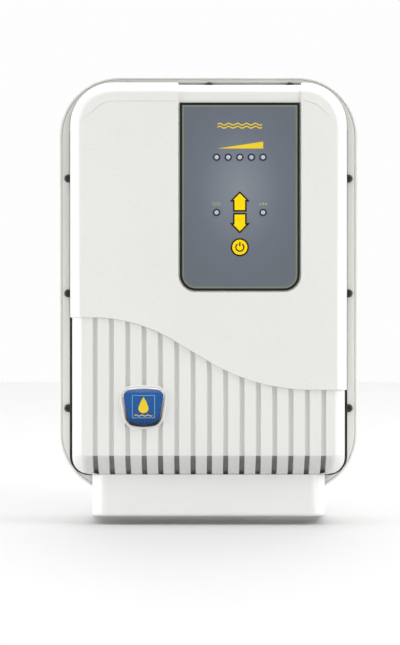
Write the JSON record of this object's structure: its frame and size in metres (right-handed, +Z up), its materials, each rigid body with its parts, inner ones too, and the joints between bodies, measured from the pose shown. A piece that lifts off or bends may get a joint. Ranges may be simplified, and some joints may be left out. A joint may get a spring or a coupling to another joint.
{
  "type": "salt chlorine generator control unit",
  "caption": "Wall-hung white pool chlorinator control unit with a ribbed lower cover, an offset keypad panel with indicator lights and a terminal skirt under it.",
  "frame": {"origin": "centre of the wall bracket's back face, level with the middle of the housing's flange", "axes": "+Z up, +Y into the wall, so the panel faces -Y; +X to the right when facing the panel"},
  "size_m": [0.26, 0.1163, 0.3823],
  "materials": {
    "white_gloss": "smooth gloss moulding",
    "white_ribbed": "satin moulding",
    "grey_housing": "satin moulding",
    "lid_grey": "satin moulding",
    "gland_grey": "satin nylon",
    "zinc": "zinc plated sheet",
    "screw_steel": "dark passivated",
    "bright_steel": "plated",
    "rubber": "foam rubber",
    "overlay_grey": "printed polyester film",
    "key_yellow": "satin",
    "lens": "clear diffused lens",
    "board_green": "solder resist",
    "black_plastic": "satin",
    "relay_blue": "satin",
    "terminal_green": "satin",
    "wound_core": "steel and copper under yellow tape",
    "sink_aluminium": "extruded",
    "chrome_rim": "bright plated",
    "enamel_blue": "glossy enamel"
  },
  "bodies": {
    "bracket": {"wall_bracket": "zinc"},
    "unit": {"rear_housing": "grey_housing", "lid_gasket": "rubber", "lid_plate": "lid_grey", "lid_screw_left_1": "screw_steel", "lid_screw_left_2": "screw_steel", "lid_screw_left_3": "screw_steel", "lid_screw_right_1": "screw_steel", "lid_screw_right_2": "screw_steel", "lid_screw_right_3": "screw_steel", "lid_screw_top_1": "screw_steel", "lid_screw_top_2": "screw_steel", "lid_screw_top_3": "screw_steel", "lid_screw_bottom_1": "screw_steel", "lid_screw_bottom_2": "screw_steel", "lid_screw_bottom_3": "screw_steel", "upper_cover": "white_gloss", "ribbed_cover": "white_ribbed", "cover_screw_left": "screw_steel", "cover_screw_right": "screw_steel", "terminal_skirt": "white_gloss", "skirt_screw_left": "screw_steel", "skirt_screw_right": "screw_steel", "control_overlay": "overlay_grey", "up_switch": "black_plastic", "down_switch": "black_plastic", "power_switch": "black_plastic", "level_light_1": "lens", "level_light_2": "lens", "level_light_3": "lens", "level_light_4": "lens", "level_light_5": "lens", "flow_light": "lens", "salt_light": "lens", "control_board": "board_green", "control_board_screw_left": "screw_steel", "control_board_screw_right": "screw_steel", "badge_rim": "chrome_rim", "badge_plate": "enamel_blue", "power_board": "board_green", "power_board_screw_upper": "screw_steel", "power_board_screw_lower": "screw_steel", "polarity_relay": "relay_blue", "terminal_block": "terminal_green", "capacitor_1": "black_plastic", "capacitor_2": "black_plastic", "transformer_coil": "wound_core", "transformer_dish": "bright_steel", "transformer_bolt": "bright_steel", "heat_sink": "sink_aluminium", "bridge_rectifier": "black_plastic", "control_lead": "black_plastic", "mains_gland": "gland_grey", "cell_gland": "gland_grey", "sensor_gland": "gland_grey", "fuse_holder": "black_plastic"},
    "up_button": {"up_key": "key_yellow"},
    "down_button": {"down_key": "key_yellow"},
    "power_button": {"power_key": "key_yellow"},
    "fuse_carrier": {"fuse_cap": "black_plastic"}
  },
  "joints": [
    {"name": "unit_lift", "type": "slide", "parent": "bracket", "child": "unit", "axis": [0, 0, 1], "range_m": [0, 0.012]},
    {"name": "up_key_press", "type": "slide", "parent": "unit", "child": "up_button", "axis": [0, 1, 0], "range_m": [0, 0.0006], "stiffness_N_per_m": 800},
    {"name": "down_key_press", "type": "slide", "parent": "unit", "child": "down_button", "axis": [0, 1, 0], "range_m": [0, 0.0006], "stiffness_N_per_m": 800},
    {"name": "power_key_press", "type": "slide", "parent": "unit", "child": "power_button", "axis": [0, 1, 0], "range_m": [0, 0.0006], "stiffness_N_per_m": 800},
    {"name": "fuse_cap_turn", "type": "hinge", "parent": "unit", "child": "fuse_carrier", "pos_m": [0.046, -0.03, -0.1725], "axis": [0, 0, 1], "range_deg": [0, 60]}
  ]
}
